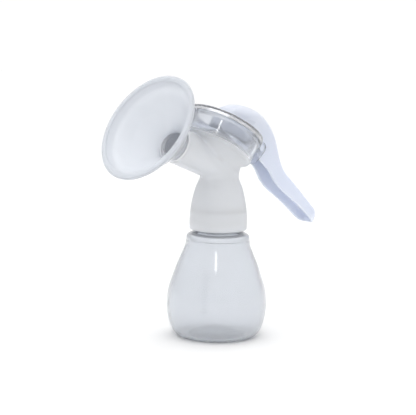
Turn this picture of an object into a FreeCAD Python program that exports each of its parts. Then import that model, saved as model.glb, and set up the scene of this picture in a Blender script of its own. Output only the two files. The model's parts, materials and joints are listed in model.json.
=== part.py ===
import FreeCAD, Part

import math
import os

from FreeCAD import Placement, Rotation, Vector

# A hand-operated breast pump that stands on its own milk bottle.
# Millimetres. +Z is up and +X points to the handle, so the breast funnel is at -X.
# The origin is on the bottle's axis, in the plane that the bottle stands on.
# The XZ plane is the plane of symmetry.

# ---------------------------------------------------------------- driving sizes
# bottle
belly_r = 34.0          # widest radius
belly_z = 23.0          # height of the widest radius
foot_r = 24.0           # outer radius of the flat ring it stands on
foot_in_r = 19.0        # inner radius of that ring
punt_rise = 5.0         # how far the hollow under the base rises
flank_r = 27.7          # radius half way up the flank
flank_z = 48.7
bead_r = 21.5           # the bead that ends the flank, under the neck
shoulder_z = 71.2       # top of the shoulder, where the neck starts
bead_drop = 4.4         # bead, below the top of the shoulder
neck_r = 15.8           # outside of the neck, at the thread's root
neck_len = 12.8         # shoulder to the rim of the mouth
mouth_lip = 0.5         # rounding of the mouth's outer edge
neck_lip = 0.4          # how much thicker the neck's wall is than the bottle's
bottle_wall = 1.4

# screw thread between the bottle and the pump body
thread_pitch = 4.0
thread_depth = 1.2
thread_root = 1.9       # ridge width at its root
thread_crest = 0.8      # ridge width at its crest
thread_turns = 1.3
thread_rise = 4.0       # start of the bottle's ridge, above the shoulder
thread_sunk = 0.25      # how far a ridge's root is sunk into its wall
thread_gap = 0.35       # radial gap between a ridge and the wall it faces

# pump body: skirt and neck
skirt_wall = 2.15
skirt_lift = 1.8        # lower edge of the skirt, above the shoulder
skirt_round = 1.4
waist_r = 12.5
waist_rise = 27.0       # waist, above the bottle's mouth
body_wall = 2.0
seal_t = 1.4            # thickness of the sealing ring on the bottle's mouth
seal_out = 0.9          # how far the sealing ring reaches outside the neck
seal_w = 4.1            # width of the sealing ring's face
ceiling_t = 2.0         # plate over the bottle's mouth
spout_r = 7.0
spout_bore_r = 5.2
spout_drop = 7.0        # how far the spout reaches below the ceiling plate
valve_wall = 1.3        # wall of the duckbill valve on the spout
valve_bead = 0.8        # bead round the valve's upper edge
beak_len = 9.0          # end of the spout to the valve's lips
slit = 0.3              # width of the opening between the lips

# pump body: diaphragm drum
drum_tilt = 32.0        # from the vertical, towards the handle
drum_x = 5.1            # centre of the drum's top plane, from the bottle's axis
drum_rise = 60.1        # the same centre, above the bottle's mouth
drum_r = 26.6           # outside of the drum's wall at its top
drum_taper = 0.8        # how much smaller that radius is at the foot
flange_lip = 0.9        # how far the flange stands out from the drum's wall
drum_depth = 20.0       # top plane to the underside of the floor
drum_foot_round = 2.4
bowl_depth = 6.0        # shallow cone between the drum's floor and the neck
bowl_step = 2.8         # how far the cone's edge is inside the drum's foot
port_r = 3.5            # air hole from the drum to the milk chamber

# stack on the drum's rim
ring_t = 1.4            # clamp ring's top plate
rim_t = 2.0             # diaphragm's clamped rim
flange_t = 2.2          # drum's flange
ring_w = 5.1            # width of the clamp ring's top plate
ring_skirt = 1.2        # thickness of the clamp ring's skirt

# diaphragm, stem and lock disc
diaphragm_t = 1.2
cup_gap = 0.2           # between the hanging cup and the clamp ring's opening
cup_round = 2.6
diaphragm_floor_t = 1.6
floor_lift = 0.8        # lock disc, above the drum's floor
stroke = 11.0           # travel of the stem
stem_r = 3.0
stem_disc_r = 9.0
stem_disc_t = 1.8
stem_neck_r = 2.2
stem_ball_r = 4.2
stem_tail_r = 2.4       # part that passes through the diaphragm
lock_disc_r = 6.0
lock_disc_t = 1.4

# handle, whose sizes along the drum's top plane are counted from the drum's centre
pivot_out = 2.9         # pivot, outside the edge of the drum's flange
pivot_h = -0.5          # pivot, above the drum's top plane
trunnion_r = 2.2
running_gap = 0.08      # radial gap between a trunnion and its hole
hinge_half = 7.0        # half the width between the ears
grip_half = 8.8         # half the width of the grip
head_half = 10.8        # half the width of the head
nose_u = -10.5          # front of the head
lever_len = 77.2        # pivot to the end of the lever
handle_wall = 1.9
side_gap = 0.5          # between the lever and each ear
ear_t = 2.4
ear_r = 4.1
hook_t = 1.6            # plate that lifts the stem
hook_reach = 7.0        # how far the hook plate reaches past the stem
slot_gap = 0.7          # around the stem's neck
rim_clear = 0.8         # between the clamp ring and the handle above it

# funnel and arm
flare_tilt = 32.0       # flare's axis above the horizontal
arm_tilt = 23.5         # arm's axis above the horizontal
rim_x = -66.5           # centre of the cushion's front plane, from the bottle's axis
rim_rise = 61.9         # the same centre, above the bottle's mouth
rim_r = 38.2            # outside of the cushion's lip
elbow_depth = 12.0      # from the front plane to where the two axes meet
throat_depth = 27.0     # from the front plane to the end of the flare
throat_r = 11.0         # inside of the funnel at the throat
funnel_wall = 1.4
lip_t = 0.9             # cushion's thickness round the funnel's rim
cushion_t = 1.4
collar_r = 12.4         # stop collar of the funnel, against the arm's mouth
collar_t = 2.0
spigot_len = 10.0
arm_bore_r = 10.0
spigot_gap = 0.1        # between the funnel's spigot and the arm's bore
spigot_wall = 1.8
socket_end_gap = 1.5    # between the spigot's end and the bottom of its socket
seal_ring_t = 1.2
arm_len = 52.0          # mouth to the end inside the neck
arm_mouth_r = 12.2
arm_end_r = 9.8
drain_r = 7.6

# ---------------------------------------------------------------- places worked out
UP = Vector(0, 0, 1)
EAST = Vector(1, 0, 0)
NORTH = Vector(0, 1, 0)
ORIGIN = Vector(0, 0, 0)

mouth_z = shoulder_z + neck_len                 # rim of the bottle's mouth
bead_z = shoulder_z - bead_drop
bore_r = neck_r - bottle_wall - neck_lip
thread_start_z = shoulder_z + thread_rise       # centre of the bottle's ridge where it starts
socket_r = neck_r + thread_depth + thread_gap   # inside of the skirt
skirt_r = socket_r + skirt_wall
skirt_z = shoulder_z + skirt_lift
waist_z = mouth_z + waist_rise
ceiling_z = mouth_z + seal_t
chamber_z = ceiling_z + ceiling_t

drum_z = mouth_z + drum_rise
drum_foot_r = drum_r - drum_taper
drum_flange_r = drum_r + flange_lip
bowl_r = drum_foot_r - bowl_step
neck_top_z = drum_z - drum_depth + 6.0          # hidden end of the neck, inside the drum's floor
rim_opening_r = drum_flange_r - ring_w          # opening inside the clamp ring
diaphragm_r = rim_opening_r - cup_gap           # outside of the hanging cup
flange_top = -(ring_t + rim_t)
flange_low = flange_top - flange_t
floor_in = -(drum_depth - body_wall)
floor_rest = floor_in + floor_lift + lock_disc_t    # underside of the diaphragm's floor

pivot_u = drum_flange_r + pivot_out             # pivot, along the drum's top plane
tip_u = pivot_u + lever_len
boss_r = pivot_out                              # as large as the drum's flange leaves room for
rim_z = mouth_z + rim_rise
spigot_r = arm_bore_r - spigot_gap
squeeze = math.degrees(2 * math.asin(stroke / 2 / pivot_u))
hook_rest_h = pivot_h - stroke / 2


def on_drum(u, h, y=0.0):
    """A point given along the drum's top plane (u), above it (h) and across (y)."""
    tilt = math.radians(drum_tilt)
    return Vector(
        drum_x + u * math.cos(tilt) + h * math.sin(tilt),
        y,
        drum_z - u * math.sin(tilt) + h * math.cos(tilt),
    )


drum_place = Placement(on_drum(0, 0), Rotation(NORTH, drum_tilt))
flare_place = Placement(Vector(rim_x, 0, rim_z), Rotation(NORTH, flare_tilt - 90))
elbow = flare_place.multVec(Vector(0, 0, -elbow_depth))
arm_place = Placement(elbow, Rotation(NORTH, arm_tilt - 90))
mouth_depth = throat_depth - elbow_depth + collar_t + seal_ring_t   # arm's mouth, from the elbow
pivot = on_drum(pivot_u, pivot_h)


# ---------------------------------------------------------------- small tools
def p(r, z):
    return Vector(r, 0, z)


def line(a, b):
    return Part.LineSegment(a, b).toShape()


def arc(a, mid, b):
    return Part.Arc(a, mid, b).toShape()


def dome(r, z_edge, z_top):
    """An arc from (r, z_edge) up to the axis, whose centre is on the axis."""
    rise = z_top - z_edge
    radius = (r * r + rise * rise) / (2 * rise)
    half = math.asin(r / radius) / 2
    middle = p(radius * math.sin(half), z_top - radius * (1 - math.cos(half)))
    return arc(p(r, z_edge), middle, p(0, z_top))


def curve(points, start=None, end=None):
    """A smooth curve through points, with its end directions where they are given."""
    spline = Part.BSplineCurve()
    if start is None:
        spline.interpolate(points)
    else:
        spline.interpolate(Points=points, InitialTangent=start, FinalTangent=end)
    return spline.toShape()


def polygon(*points):
    ends = list(points[1:]) + [points[0]]
    return [line(a, b) for a, b in zip(points, ends)]


def face(edges):
    return Part.Face(Part.Wire(Part.__sortEdges__(edges)))


def lathe(edges, place=None):
    """Turns a closed outline in the XZ plane about Z, then moves it to its place."""
    solid = Part.makeSolid(face(edges).revolve(ORIGIN, UP, 360).Shells[0])
    if solid.Volume < 0:
        solid.reverse()
    if place is not None:
        solid.Placement = place
    return solid


def tube(r_out, r_in, z0, z1, place=None):
    return lathe(polygon(p(r_in, z0), p(r_out, z0), p(r_out, z1), p(r_in, z1)), place)


def rod(r, z0, z1, place=None):
    return lathe(polygon(p(0, z0), p(r, z0), p(r, z1), p(0, z1)), place)


def cone(r0, r1, z0, z1, place=None):
    return lathe(polygon(p(0, z0), p(r0, z0), p(r1, z1), p(0, z1)), place)


def slab(x0, x1, half, z0, z1, place=None):
    box = Part.makeBox(x1 - x0, 2 * half, z1 - z0, Vector(x0, -half, z0))
    if place is not None:
        box.Placement = place
    return box


def extrude_y(edges, y0, y1):
    """An outline in the XZ plane, made solid from y0 to y1."""
    flat = face(edges)
    flat.translate(Vector(0, y0, 0))
    return flat.extrude(Vector(0, y1 - y0, 0))


def drum_extrude(edges, y0, y1):
    """An outline in the drum's own frame, made solid across the drum."""
    solid = extrude_y(edges, y0, y1)
    solid.Placement = drum_place
    return solid


def mirror_y(shape):
    return shape.mirror(ORIGIN, NORTH)


def export(name, shape):
    shape = shape.removeSplitter()
    solids = shape.Solids
    kept = solids[0] if len(solids) == 1 else Part.makeCompound(solids)
    for solid in solids:
        if not solid.isValid() or solid.Volume <= 0:
            raise ValueError(name + " is not a sound solid")
    kept.exportStep("parts/" + name + ".step")
    print(name, len(solids), "solid(s)", round(kept.Volume / 1000, 2), "cm3")


# ---------------------------------------------------------------- screw thread
def ridge(radius, sense, start_z):
    """A helical ridge on a wall of this radius; sense is 1 outwards and -1 inwards."""
    foot = radius - sense * thread_sunk
    crest = radius + sense * thread_depth
    helix = Part.makeHelix(thread_pitch, thread_pitch * thread_turns, radius)
    helix.translate(Vector(0, 0, start_z))
    half_root, half_crest = thread_root / 2, thread_crest / 2
    section = Part.Wire(
        polygon(
            p(foot, start_z - half_root),
            p(crest, start_z - half_crest),
            p(crest, start_z + half_crest),
            p(foot, start_z + half_root),
        )
    )
    return Part.Wire(helix).makePipeShell([section], True, True)


# ---------------------------------------------------------------- bottle
def bottle_outline(inset):
    """Foot, belly, flank, bead and shoulder, drawn inwards by inset."""
    foot = p(foot_r, inset)
    belly = p(belly_r - inset, belly_z)
    knee = 0.70710678
    low = p(
        foot_r + (belly_r - foot_r - inset) * knee,
        belly_z - (belly_z - inset) * knee,
    )
    bead = p(bead_r - inset, bead_z)
    flank = p(flank_r - inset, flank_z)
    shoulder_top = p(neck_r + 1.4, shoulder_z - inset)
    return [
        curve([foot, low, belly], p(1, 0), p(0, 1)),
        curve([belly, flank, bead], p(0, 1), p(-0.16, 1)),
        arc(bead, p(bead_r - inset - 0.5, bead_z + 2.6 - 0.5 * inset), shoulder_top),
    ]


def bottle():
    w = bottle_wall
    lip = mouth_lip
    outside = bottle_outline(0)
    inside = bottle_outline(w)
    sole = [
        line(p(foot_in_r, 0), p(foot_r, 0)),
        dome(foot_in_r, 0, punt_rise),
    ]
    neck_out = [
        line(p(neck_r + 1.4, shoulder_z), p(neck_r, shoulder_z)),
        line(p(neck_r, shoulder_z), p(neck_r, mouth_z - lip)),
        arc(
            p(neck_r, mouth_z - lip),
            p(neck_r - lip * 0.3, mouth_z - lip * 0.3),
            p(neck_r - lip, mouth_z),
        ),
        line(p(neck_r - lip, mouth_z), p(bore_r, mouth_z)),
    ]
    neck_in = [
        line(p(bore_r, mouth_z), p(bore_r, shoulder_z - w)),
        line(p(bore_r, shoulder_z - w), p(neck_r + 1.4, shoulder_z - w)),
    ]
    floor_in_r = foot_in_r - 1.0
    bed = [
        line(p(foot_r, w), p(floor_in_r, w)),
        dome(floor_in_r, w, punt_rise + w),
        line(p(0, punt_rise + w), p(0, punt_rise)),
    ]
    shell = lathe(sole + outside + neck_out + neck_in + inside + bed)
    return shell.fuse(ridge(neck_r, 1, thread_start_z))


# ---------------------------------------------------------------- pump body
def skirt_outline(inset):
    """The bell from the skirt's edge to the waist and on into the drum."""
    return [
        curve(
            [
                p(skirt_r - inset, skirt_z + skirt_round),
                p(skirt_r - 0.9 - inset, skirt_z + 17.0),
                p((skirt_r + waist_r) / 2 - inset, waist_z - 11.0),
                p(waist_r - inset, waist_z),
            ],
            p(0, 1),
            p(-0.1, 1),
        ),
        line(p(waist_r - inset, waist_z), p(waist_r - inset, neck_top_z)),
        line(p(waist_r - inset, neck_top_z), p(0, neck_top_z)),
    ]


def skirt_and_neck():
    edge = p(skirt_r - skirt_round, skirt_z)
    return lathe(
        [
            line(p(0, skirt_z), edge),
            arc(
                edge,
                p(skirt_r - skirt_round * 0.3, skirt_z + skirt_round * 0.3),
                p(skirt_r, skirt_z + skirt_round),
            ),
            line(p(0, neck_top_z), p(0, skirt_z)),
        ]
        + skirt_outline(0)
    )


def milk_chamber():
    """The hollow of the neck above the ceiling plate."""
    top_z = neck_top_z
    floor_r = socket_r - 2.95
    return lathe(
        [
            line(p(0, chamber_z), p(floor_r, chamber_z)),
            curve(
                [
                    p(floor_r, chamber_z),
                    p((skirt_r + waist_r) / 2 - body_wall, waist_z - 11.0),
                    p(waist_r - body_wall, waist_z),
                ],
                p(0, 1),
                p(-0.1, 1),
            ),
            line(p(waist_r - body_wall, waist_z), p(waist_r - body_wall, top_z)),
            line(p(waist_r - body_wall, top_z), p(0, top_z)),
            line(p(0, top_z), p(0, chamber_z)),
        ]
    )


def drum_outside():
    return lathe(
        [
            line(p(0, -drum_depth), p(drum_foot_r - drum_foot_round, -drum_depth)),
            arc(
                p(drum_foot_r - drum_foot_round, -drum_depth),
                p(drum_foot_r - drum_foot_round * 0.29, -drum_depth + drum_foot_round * 0.29),
                p(drum_foot_r, -drum_depth + drum_foot_round),
            ),
            line(p(drum_foot_r, -drum_depth + drum_foot_round), p(drum_r, flange_low)),
            line(p(drum_r, flange_low), p(drum_flange_r, flange_low + 0.5)),
            line(p(drum_flange_r, flange_low + 0.5), p(drum_flange_r, flange_top)),
            line(p(drum_flange_r, flange_top), p(0, flange_top)),
            line(p(0, flange_top), p(0, -drum_depth)),
        ],
        drum_place,
    )


def drum_hollow():
    r_top = drum_r - body_wall
    r_low = drum_foot_r - body_wall
    round_in = drum_foot_round - 1.0
    return lathe(
        [
            line(p(0, floor_in), p(r_low - round_in, floor_in)),
            arc(
                p(r_low - round_in, floor_in),
                p(r_low - round_in * 0.29, floor_in + round_in * 0.29),
                p(r_low, floor_in + round_in),
            ),
            line(p(r_low, floor_in + round_in), p(r_top, flange_top)),
            line(p(r_top, flange_top), p(r_top, 12.0)),
            line(p(r_top, 12.0), p(0, 12.0)),
            line(p(0, 12.0), p(0, floor_in)),
        ],
        drum_place,
    )


def bowl(inset, top):
    """The shallow cone that joins the drum's floor to the neck, drawn inwards by inset."""
    low = -drum_depth - bowl_depth
    return cone(waist_r - inset, bowl_r - inset, low, top, drum_place)


def ear():
    """One of the two cheeks that carry the handle's trunnions."""
    root_u = drum_r - 2.4
    clear_u = drum_flange_r - 0.5
    y0 = hinge_half + side_gap
    edge = pivot_u + ear_r
    return drum_extrude(
        [
            arc(p(pivot_u - ear_r, pivot_h), p(pivot_u, pivot_h + ear_r), p(edge, pivot_h)),
            line(p(edge, pivot_h), p(edge - 0.8, pivot_h - 4.0)),
            curve(
                [
                    p(edge - 0.8, pivot_h - 4.0),
                    p(pivot_u - 0.8, -drum_depth + 7.4),
                    p(root_u, -drum_depth + 3.5),
                ],
                p(-0.3, -1),
                p(-1, -0.3),
            ),
            line(p(root_u, -drum_depth + 3.5), p(root_u, flange_low)),
            line(p(root_u, flange_low), p(clear_u, flange_low)),
            line(p(clear_u, flange_low), p(pivot_u - ear_r, pivot_h)),
        ],
        y0,
        y0 + ear_t,
    )


def trunnion(r, half):
    """A cross rod on the handle's pivot."""
    centre = on_drum(pivot_u, pivot_h, -half)
    return Part.makeCylinder(r, 2 * half, centre, NORTH)


def pump_body():
    below_drum = slab(-120, 60, 60, -140, -drum_depth, drum_place)
    arm = cone(arm_end_r, arm_mouth_r, -mouth_depth - arm_len, -mouth_depth, arm_place)
    outside = skirt_and_neck().fuse([arm, bowl(0, -drum_depth), drum_outside(), ear(), mirror_y(ear())])
    socket_len = spigot_len + socket_end_gap
    bore = rod(arm_bore_r, -mouth_depth - socket_len, 1.0 - mouth_depth, arm_place)
    drain = cone(
        drain_r - 0.6, drain_r, -mouth_depth - arm_len + 3.0, -mouth_depth - socket_len + 0.1, arm_place
    )
    hollow = milk_chamber().fuse([bore, drain, bowl(body_wall, -drum_depth + 1.0)]).common(below_drum)
    port = rod(port_r, floor_in - body_wall - 6.0, floor_in + 1.0, drum_place)
    socket = rod(socket_r, skirt_z - 1.0, ceiling_z)
    pin_holes = trunnion(trunnion_r + running_gap, 3 * hinge_half)
    body = outside.cut([hollow, drum_hollow(), port, socket, pin_holes])
    spout = rod(spout_r, ceiling_z - spout_drop, ceiling_z + 0.5)
    body = body.fuse([spout, ridge(socket_r, -1, thread_start_z + thread_pitch / 2)])
    return body.cut(rod(spout_bore_r, ceiling_z - spout_drop - 1.0, chamber_z + 0.5))


# ---------------------------------------------------------------- bottle seal, valve
def bottle_seal():
    out_r = neck_r + seal_out
    return tube(out_r, out_r - seal_w, mouth_z, ceiling_z)


def wedge(half_top, half_tip, z_top, z_tip):
    """A block that narrows downwards to a tip, long in X."""
    return Part.Face(
        Part.Wire(
            polygon(
                Vector(-30, half_top, z_top),
                Vector(-30, -half_top, z_top),
                Vector(-30, -half_tip, z_tip),
                Vector(-30, half_tip, z_tip),
            )
        )
    ).extrude(Vector(60, 0, 0))


def duckbill_valve():
    """A sleeve on the spout, with a flat-lipped beak whose slit faces down."""
    sleeve_r = spout_r + valve_wall
    top = ceiling_z - 0.4
    knee = ceiling_z - spout_drop - 0.6
    tip = knee - beak_len
    sleeve = tube(sleeve_r, spout_r, knee, top)
    bead = tube(sleeve_r + valve_bead, spout_r, top - 2 * valve_bead, top)
    beak = rod(sleeve_r, tip, knee).common(wedge(sleeve_r, valve_wall, knee, tip))
    hollow = rod(spout_r - 0.4, tip - 1.0, knee).common(
        wedge(spout_r - 0.4, slit / 2, knee, tip)
    )
    return sleeve.fuse([bead, beak.cut(hollow)])


# ---------------------------------------------------------------- drum's inner pieces
def clamp_ring():
    lip_in = drum_flange_r - ring_skirt
    return lathe(
        polygon(
            p(rim_opening_r, -ring_t),
            p(lip_in, -ring_t),
            p(lip_in, flange_top),
            p(drum_flange_r, flange_top),
            p(drum_flange_r, -0.5),
            p(drum_flange_r - 0.5, 0),
            p(rim_opening_r + 0.5, 0),
            p(rim_opening_r, -0.5),
        ),
        drum_place,
    )


def diaphragm():
    rim_out = drum_flange_r - ring_skirt - cup_gap
    r_in = diaphragm_r - diaphragm_t
    floor_top = floor_rest + diaphragm_floor_t
    bend = cup_round
    return lathe(
        [
            line(p(stem_tail_r, floor_rest), p(diaphragm_r - bend, floor_rest)),
            arc(
                p(diaphragm_r - bend, floor_rest),
                p(diaphragm_r - bend * 0.29, floor_rest + bend * 0.29),
                p(diaphragm_r, floor_rest + bend),
            ),
            line(p(diaphragm_r, floor_rest + bend), p(diaphragm_r, flange_top)),
            line(p(diaphragm_r, flange_top), p(rim_out, flange_top)),
            line(p(rim_out, flange_top), p(rim_out, -ring_t)),
            line(p(rim_out, -ring_t), p(r_in, -ring_t)),
            line(p(r_in, -ring_t), p(r_in, floor_top + bend)),
            arc(
                p(r_in, floor_top + bend),
                p(r_in - bend * 0.29, floor_top + bend * 0.29),
                p(r_in - bend, floor_top),
            ),
            line(p(r_in - bend, floor_top), p(stem_tail_r, floor_top)),
            line(p(stem_tail_r, floor_top), p(stem_tail_r, floor_rest)),
        ],
        drum_place,
    )


def diaphragm_stem():
    floor_top = floor_rest + diaphragm_floor_t
    disc_top = floor_top + stem_disc_t
    shoulder = hook_rest_h - hook_t / 2 - 1.4
    ball = hook_rest_h + hook_t / 2 + 4.0
    tail = rod(stem_tail_r, floor_rest - lock_disc_t, floor_top)
    disc = rod(stem_disc_r, floor_top, disc_top)
    shaft = rod(stem_r, disc_top, shoulder)
    flare = cone(stem_r, stem_ball_r + 0.4, shoulder - 2.0, shoulder)
    neck = rod(stem_neck_r, shoulder, ball)
    head = Part.makeSphere(stem_ball_r, Vector(0, 0, ball))
    rib = slab(1.5 - stem_disc_r, stem_disc_r - 1.5, 0.8, floor_top, disc_top + 1.5)
    cross_rib = rib.copy()
    cross_rib.rotate(ORIGIN, UP, 90)
    whole = tail.fuse([disc, shaft, flare, neck, head, rib, cross_rib])
    whole.Placement = drum_place
    return whole


def stem_lock():
    return tube(
        lock_disc_r, stem_tail_r, floor_rest - lock_disc_t, floor_rest, drum_place
    )


# ---------------------------------------------------------------- handle
def handle_back(inset=0.0):
    """The line of the handle's back from the nose to the tip, drawn inwards by inset."""
    points = [
        p(nose_u, 0.0),
        p(-5.2, 7.6),
        p(4.0, 13.4),
        p(14.0, 17.6),
        p(24.0, 18.9),
        p(pivot_u + 3.6, 17.5),
        p(pivot_u + 12.4, 12.2),
        p(pivot_u + 21.4, 3.9),
        p(pivot_u + 30.1, -1.5),
        p(pivot_u + 41.6, -4.4),
        p(tip_u - 23.6, -6.0),
        p(tip_u - 12.6, -7.4),
        p(tip_u - 4.0, -10.6),
        p(tip_u, -17.2),
    ]
    start, end = p(0.25, 1), p(0.0, -1)
    back = curve(points, start, end)
    if inset == 0:
        return back
    moved = []
    for point in points:
        along = back.tangentAt(back.Curve.parameter(point))
        moved.append(point + p(along.z, -along.x).normalize() * inset)
    return curve(moved, start, end)


def handle_side():
    """The handle from the side, in the drum's frame: the back, the tip and the open edge."""
    back = handle_back()
    nose = p(nose_u, 0.0)
    end = p(tip_u, -17.2)
    heel = p(tip_u - 3.0, -19.4)
    open_edge = [
        heel,
        p(tip_u - 21.6, -17.0),
        p(pivot_u + 38.6, -16.2),
        p(pivot_u + 25.6, -13.8),
        p(pivot_u + 17.0, -9.6),
        p(pivot_u + 5.6, -7.0),
        p(pivot_u - 1.8, -3.3),
    ]
    over_rim = p(pivot_u - boss_r, rim_clear)
    throat = p(rim_opening_r - 5.0, rim_clear)
    cheek_u = rim_opening_r - 6.8
    cheek = p(cheek_u, hook_h(cheek_u) - 1.4)
    chin = p(-6.6, hook_h(-6.6) - 1.0)
    return [
        back,
        arc(end, p(tip_u - 0.9, -18.9), heel),
        curve(open_edge, p(-1, 0.02), p(-0.25, 1)),
        line(open_edge[-1], over_rim),
        line(over_rim, throat),
        line(throat, cheek),
        line(cheek, chin),
        curve([chin, p(-9.6, -4.0), nose], p(-1, 0.2), p(0.2, 1)),
    ]


def hook_h(u):
    """Height of the hook plate's middle: it points at the pivot."""
    return pivot_h + (u - pivot_u) * (pivot_h - hook_rest_h) / pivot_u


def handle_plan(inset):
    """The handle seen along the drum's axis, drawn inwards by inset, as a tall solid."""
    hinge = hinge_half - inset
    grip = grip_half - inset
    head = [
        Vector(nose_u + inset, 0, 0),
        Vector(nose_u * 0.62, head_half * 0.74 - inset, 0),
        Vector(4.0, head_half - inset, 0),
        Vector(14.0, head_half * 0.93 - inset, 0),
        Vector(pivot_u - 5.4, hinge, 0),
    ]
    edges = []
    for sign in (1, -1):
        points = [Vector(v.x, v.y * sign, 0) for v in head]
        hinge_end = Vector(pivot_u + 6.0, hinge * sign, 0)
        grip_start = Vector(pivot_u + 35.6, grip * sign, 0)
        grip_end = Vector(tip_u - 20, grip * sign, 0)
        corner = Vector(tip_u - 5.0 - inset * 0.6, grip * 0.72 * sign, 0)
        tip = Vector(tip_u - inset, 0, 0)
        edges.append(curve(points, Vector(0, sign, 0), EAST))
        edges.append(line(points[-1], hinge_end))
        edges.append(curve([hinge_end, grip_start], EAST, EAST))
        edges.append(line(grip_start, grip_end))
        edges.append(curve([grip_end, corner, tip], EAST, Vector(0, -sign, 0)))
    flat = face(edges)
    flat.translate(Vector(0, 0, -70))
    return flat.extrude(Vector(0, 0, 110))


def handle():
    side = Part.Wire(Part.__sortEdges__(handle_side()))
    wide = 2 * head_half
    block = extrude_y(side.Edges, -wide, wide).common(handle_plan(0))
    roof = handle_back(handle_wall)
    first, last = roof.firstVertex().Point, roof.lastVertex().Point
    deep = -60.0
    under = [
        roof,
        line(last, p(last.x, deep)),
        line(p(last.x, deep), p(first.x, deep)),
        line(p(first.x, deep), first),
    ]
    shell = block.cut(extrude_y(under, -wide, wide).common(handle_plan(handle_wall)))
    angle = math.degrees(math.atan2(pivot_h - hook_rest_h, pivot_u))
    web = slab(-pivot_u - hook_reach, 15.0 - pivot_u, wide, -hook_t / 2, hook_t / 2)
    slot_half = stem_neck_r + slot_gap
    slot = slab(-pivot_u - hook_reach - 5, -pivot_u, slot_half, -hook_t, hook_t)
    slot_end = Part.makeCylinder(slot_half, 2 * hook_t, Vector(-pivot_u, 0, -hook_t))
    web = web.cut([slot, slot_end])
    web.Placement = Placement(p(pivot_u, pivot_h), Rotation(NORTH, -angle))
    shell = shell.fuse(web.common(block))
    shell.Placement = drum_place
    pins = trunnion(trunnion_r, hinge_half + side_gap + ear_t - 0.2)
    bosses = trunnion(boss_r, hinge_half - 0.4)
    gap = trunnion(boss_r + 0.2, hinge_half - handle_wall - 1.2)
    return shell.fuse([pins, bosses]).cut(gap)


# ---------------------------------------------------------------- funnel side
def flare_curve(inset):
    """The inner line of the flare, from the rim to the throat, moved outwards by inset."""
    rim = rim_r - lip_t
    return [
        p(rim + inset * 0.45, -lip_t - inset),
        p(rim - 7.0 + inset * 0.6, -6.0 - inset * 0.8),
        p(throat_r + 7.5 + inset * 0.75, -throat_depth + 8.5 - inset * 0.65),
        p(throat_r + inset, -throat_depth),
    ]


def funnel():
    inner = flare_curve(0)
    outer = flare_curve(funnel_wall)
    flare = lathe(
        [
            curve(inner, p(-1, -0.35), p(-0.05, -1)),
            curve(outer, p(-1, -0.35), p(-0.05, -1)),
            line(inner[0], outer[0]),
            line(inner[-1], outer[-1]),
        ],
        flare_place,
    )
    z_throat = -(throat_depth - elbow_depth)
    collar = rod(collar_r, z_throat - collar_t, z_throat + 1.5, arm_place)
    spigot = cone(
        spigot_r - 0.2, spigot_r, z_throat - collar_t - spigot_len, z_throat, arm_place
    )
    bore_low = z_throat - collar_t - spigot_len - 1.0
    bore = cone(spigot_r - spigot_wall, throat_r - 1.9, bore_low, z_throat + 3.0, arm_place)
    cup = lathe(
        [
            curve(inner, p(-1, -0.35), p(-0.05, -1)),
            line(inner[-1], p(0, -throat_depth)),
            line(p(0, -throat_depth), p(0, 5)),
            line(p(0, 5), p(rim_r + 5, 5)),
            line(p(rim_r + 5, 5), inner[0]),
        ],
        flare_place,
    )
    return flare.fuse([collar, spigot]).cut([cup, bore])


def funnel_seal():
    z1 = -mouth_depth + seal_ring_t
    return tube(arm_mouth_r - 0.4, spigot_r, -mouth_depth, z1, arm_place)


def cushion():
    """Soft liner of the flare, with a lip that folds round the funnel's rim."""
    middle = flare_curve(funnel_wall / 2)
    front = flare_curve(-cushion_t)
    back = flare_curve(funnel_wall)
    throat_lip = p(throat_r - cushion_t, -throat_depth + 1.0)
    crown = p(rim_r - 2.8, 0)
    edge = p(rim_r, -lip_t - 0.8)
    liner = lathe(
        [
            curve(middle, p(-1, -0.35), p(-0.05, -1)),
            line(middle[-1], throat_lip),
            curve([throat_lip, front[2], front[1], crown], p(0.05, 1), p(1, 0.3)),
            arc(crown, p(rim_r - 0.6, -0.75), edge),
            line(edge, middle[0]),
        ],
        flare_place,
    )
    fold_end = p(back[1].x + 1.5, back[1].z - 0.2)
    fold = lathe(
        [
            curve([edge, fold_end], p(-0.1, -1), p(-1, -0.45)),
            line(fold_end, middle[1]),
            line(middle[1], p(rim_r - 1.0, -lip_t - 0.3)),
            line(p(rim_r - 1.0, -lip_t - 0.3), edge),
        ],
        flare_place,
    )
    return liner.fuse(fold).cut(funnel())


# ---------------------------------------------------------------- run
def main():
    os.makedirs("parts", exist_ok=True)
    export("bottle", bottle())
    export("pump_body", pump_body())
    export("bottle_seal", bottle_seal())
    export("duckbill_valve", duckbill_valve())
    export("clamp_ring", clamp_ring())
    export("diaphragm", diaphragm())
    export("diaphragm_stem", diaphragm_stem())
    export("stem_lock", stem_lock())
    export("handle", handle())
    export("funnel", funnel())
    export("funnel_seal", funnel_seal())
    export("cushion", cushion())


if __name__ == "__main__":
    main()
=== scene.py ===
import json
import math

import bmesh
import bpy
import numpy as np
from mathutils import Matrix, Vector


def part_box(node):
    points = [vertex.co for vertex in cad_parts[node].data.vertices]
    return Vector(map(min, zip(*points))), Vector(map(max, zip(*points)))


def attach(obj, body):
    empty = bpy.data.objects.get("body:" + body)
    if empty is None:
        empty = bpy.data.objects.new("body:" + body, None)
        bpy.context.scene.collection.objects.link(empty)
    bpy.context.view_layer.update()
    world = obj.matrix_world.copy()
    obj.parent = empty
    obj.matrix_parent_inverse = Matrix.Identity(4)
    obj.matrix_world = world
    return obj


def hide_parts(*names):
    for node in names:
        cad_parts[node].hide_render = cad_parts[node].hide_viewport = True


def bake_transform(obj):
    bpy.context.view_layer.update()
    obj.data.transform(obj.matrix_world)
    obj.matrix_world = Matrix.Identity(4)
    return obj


bl_info = {
    "name": "Manual breast pump",
    "version": (1, 0, 0),
    "blender": (4, 5, 0),
    "location": "3D View > Sidebar > Pump",
    "description": "Builds a hand-operated breast pump around its packed frame",
    "category": "Object",
}

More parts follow.
